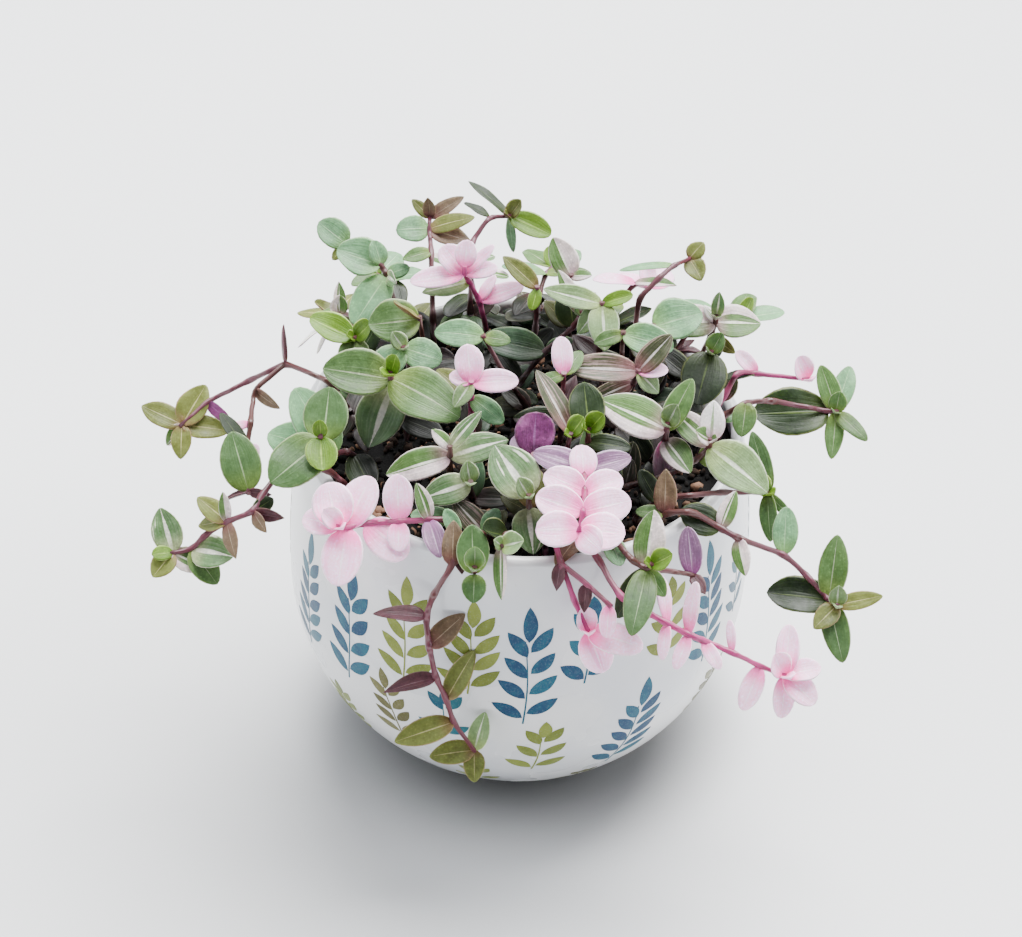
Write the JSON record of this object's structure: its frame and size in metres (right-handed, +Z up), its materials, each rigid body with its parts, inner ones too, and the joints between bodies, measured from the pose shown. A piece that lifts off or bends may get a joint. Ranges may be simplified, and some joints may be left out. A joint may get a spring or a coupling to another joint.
{
  "type": "potted turtle vine plant",
  "caption": "Trailing turtle vine with small green, striped and pink leaves on thin stems, rooted in soil in a round glazed pot that stands on its flat base.",
  "frame": {"origin": "the middle of the pot's flat base, on the surface it stands on", "axes": "+Z is up along the pot's axis, -Y is the front that the picture shows, and +X is to the right in it"},
  "size_m": [0.2127, 0.1675, 0.1536],
  "materials": {
    "pot_glaze": "white gloss glaze printed with blue and green leaf sprays",
    "potting_soil": "dark crumbly potting soil",
    "leaf_green": "satin green leaves on purple-brown stems",
    "leaf_variegated": "satin green leaves striped cream and pink",
    "leaf_pink": "satin pink leaves on magenta stems",
    "leaf_olive": "satin olive leaves on purple-brown stems",
    "leaf_purple": "satin purple leaf underside"
  },
  "bodies": {
    "root": {"pot": "pot_glaze", "soil": "potting_soil", "vine_back_far_left": "leaf_olive", "vine_back_far_right": "leaf_green", "vine_back_left": "leaf_green", "vine_back_mid": "leaf_green", "vine_back_mid_left": "leaf_variegated", "vine_back_right": "leaf_pink", "vine_big_dark": "leaf_green", "vine_blue_left": "leaf_green", "vine_centre_main": "leaf_green", "vine_centre_pale": "leaf_green", "vine_centre_right": "leaf_green", "vine_front_droop": "leaf_variegated", "vine_front_green": "leaf_green", "vine_front_left_green": "leaf_green", "vine_front_stripe": "leaf_variegated", "vine_grey_stripe": "leaf_variegated", "vine_left_arm": "leaf_olive", "vine_left_low": "leaf_olive", "vine_left_rim": "leaf_green", "vine_long_grey": "leaf_green", "vine_mid_left": "leaf_green", "vine_mid_right": "leaf_variegated", "vine_pink_centre": "leaf_pink", "vine_pink_front": "leaf_pink", "vine_pink_front_hanging": "leaf_pink", "vine_pink_front_left": "leaf_pink", "vine_pink_front_long": "leaf_pink", "vine_pink_right": "leaf_pink", "vine_pink_small": "leaf_pink", "vine_pink_top": "leaf_pink", "vine_purple_disc": "leaf_purple", "vine_right_dark": "leaf_green", "vine_right_front": "leaf_variegated", "vine_right_low": "leaf_green", "vine_right_run": "leaf_green", "vine_round_left": "leaf_green", "vine_round_right": "leaf_green", "vine_speckled": "leaf_green", "vine_star": "leaf_green", "vine_striped_leaf": "leaf_variegated", "vine_striped_right": "leaf_variegated", "vine_top_arch": "leaf_olive", "vine_top_mid": "leaf_olive", "vine_top_olive": "leaf_olive", "vine_top_right": "leaf_variegated", "vine_trailing": "leaf_olive", "vine_upper_left": "leaf_green", "vine_upper_right": "leaf_olive", "vine_variegated": "leaf_variegated", "vine_white_left": "leaf_variegated", "vine_young_left": "leaf_green"}
  },
  "joints": []
}
